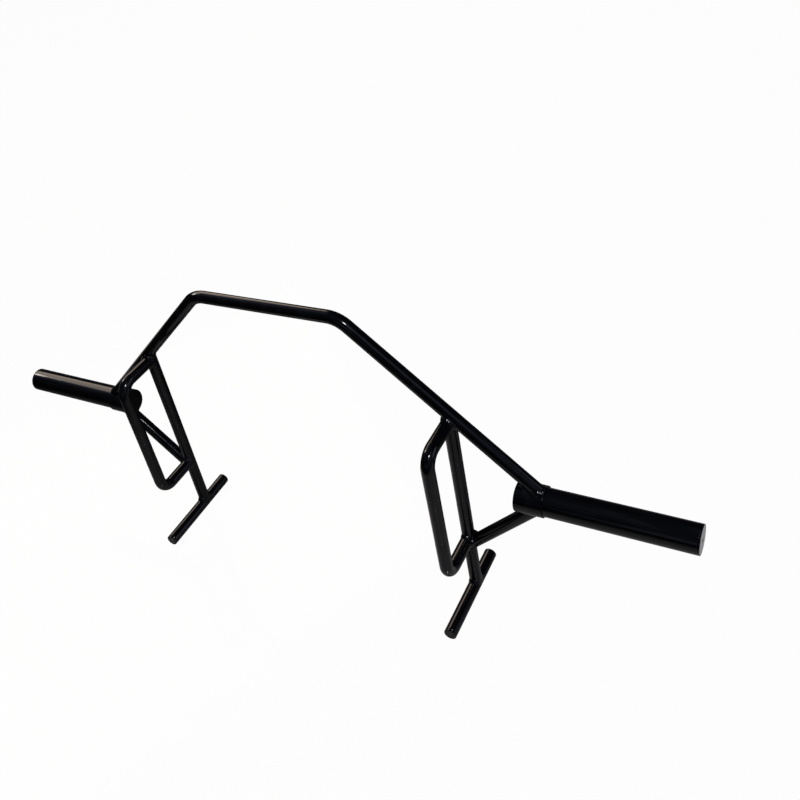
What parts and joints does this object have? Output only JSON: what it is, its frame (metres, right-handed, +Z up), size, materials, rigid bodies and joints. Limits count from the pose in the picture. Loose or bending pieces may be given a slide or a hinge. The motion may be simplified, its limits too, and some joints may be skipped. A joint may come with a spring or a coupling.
{
  "type": "open-ended trap bar",
  "caption": "Open-ended trap bar with a half-hexagon back bar, upright grips, raised handle loops, braces, T-shaped stand feet and rotating plate sleeves.",
  "frame": {"origin": "on the floor, midway between the foot bars and midway along them, with the bar standing on its feet", "axes": "+X along the sleeves, to the right seen from the side of the handle loops; +Y from the handle loops towards the back bar's side; +Z up"},
  "size_m": [1.476, 0.203, 0.616],
  "materials": {
    "gloss_black_paint": "gloss",
    "satin_steel": "satin",
    "ground_steel": "ground",
    "bronze": "machined",
    "zinc_plate": "zinc plated"
  },
  "bodies": {
    "frame": {"back_bar": "gloss_black_paint", "upright_left": "gloss_black_paint", "handle_loop_left": "gloss_black_paint", "brace_left": "gloss_black_paint", "foot_bar_left": "gloss_black_paint", "collar_left": "gloss_black_paint", "stub_shaft_left": "ground_steel", "retaining_washer_left": "zinc_plate", "retaining_bolt_left": "zinc_plate", "weld_back_bar_left": "gloss_black_paint", "weld_brace_top_left": "gloss_black_paint", "weld_brace_bottom_left": "gloss_black_paint", "weld_upright_top_left": "gloss_black_paint", "weld_upright_foot_left": "gloss_black_paint", "weld_loop_top_left": "gloss_black_paint", "weld_loop_bottom_left": "gloss_black_paint", "upright_right": "gloss_black_paint", "handle_loop_right": "gloss_black_paint", "brace_right": "gloss_black_paint", "foot_bar_right": "gloss_black_paint", "collar_right": "gloss_black_paint", "stub_shaft_right": "ground_steel", "retaining_washer_right": "zinc_plate", "retaining_bolt_right": "zinc_plate", "weld_back_bar_right": "gloss_black_paint", "weld_brace_top_right": "gloss_black_paint", "weld_brace_bottom_right": "gloss_black_paint", "weld_upright_top_right": "gloss_black_paint", "weld_upright_foot_right": "gloss_black_paint", "weld_loop_top_right": "gloss_black_paint", "weld_loop_bottom_right": "gloss_black_paint"},
    "left_sleeve": {"sleeve_left": "gloss_black_paint", "inner_bushing_left": "bronze", "outer_bushing_left": "bronze", "end_cap_left": "satin_steel"},
    "right_sleeve": {"sleeve_right": "gloss_black_paint", "inner_bushing_right": "bronze", "outer_bushing_right": "bronze", "end_cap_right": "satin_steel"}
  },
  "joints": [
    {"name": "left_sleeve_spin", "type": "hinge", "parent": "frame", "child": "left_sleeve", "pos_m": [-0.6145, 0.0265, 0.281], "axis": [1, 0, 0], "continuous": true},
    {"name": "right_sleeve_spin", "type": "hinge", "parent": "frame", "child": "right_sleeve", "pos_m": [0.6145, 0.0265, 0.281], "axis": [1, 0, 0], "continuous": true}
  ]
}
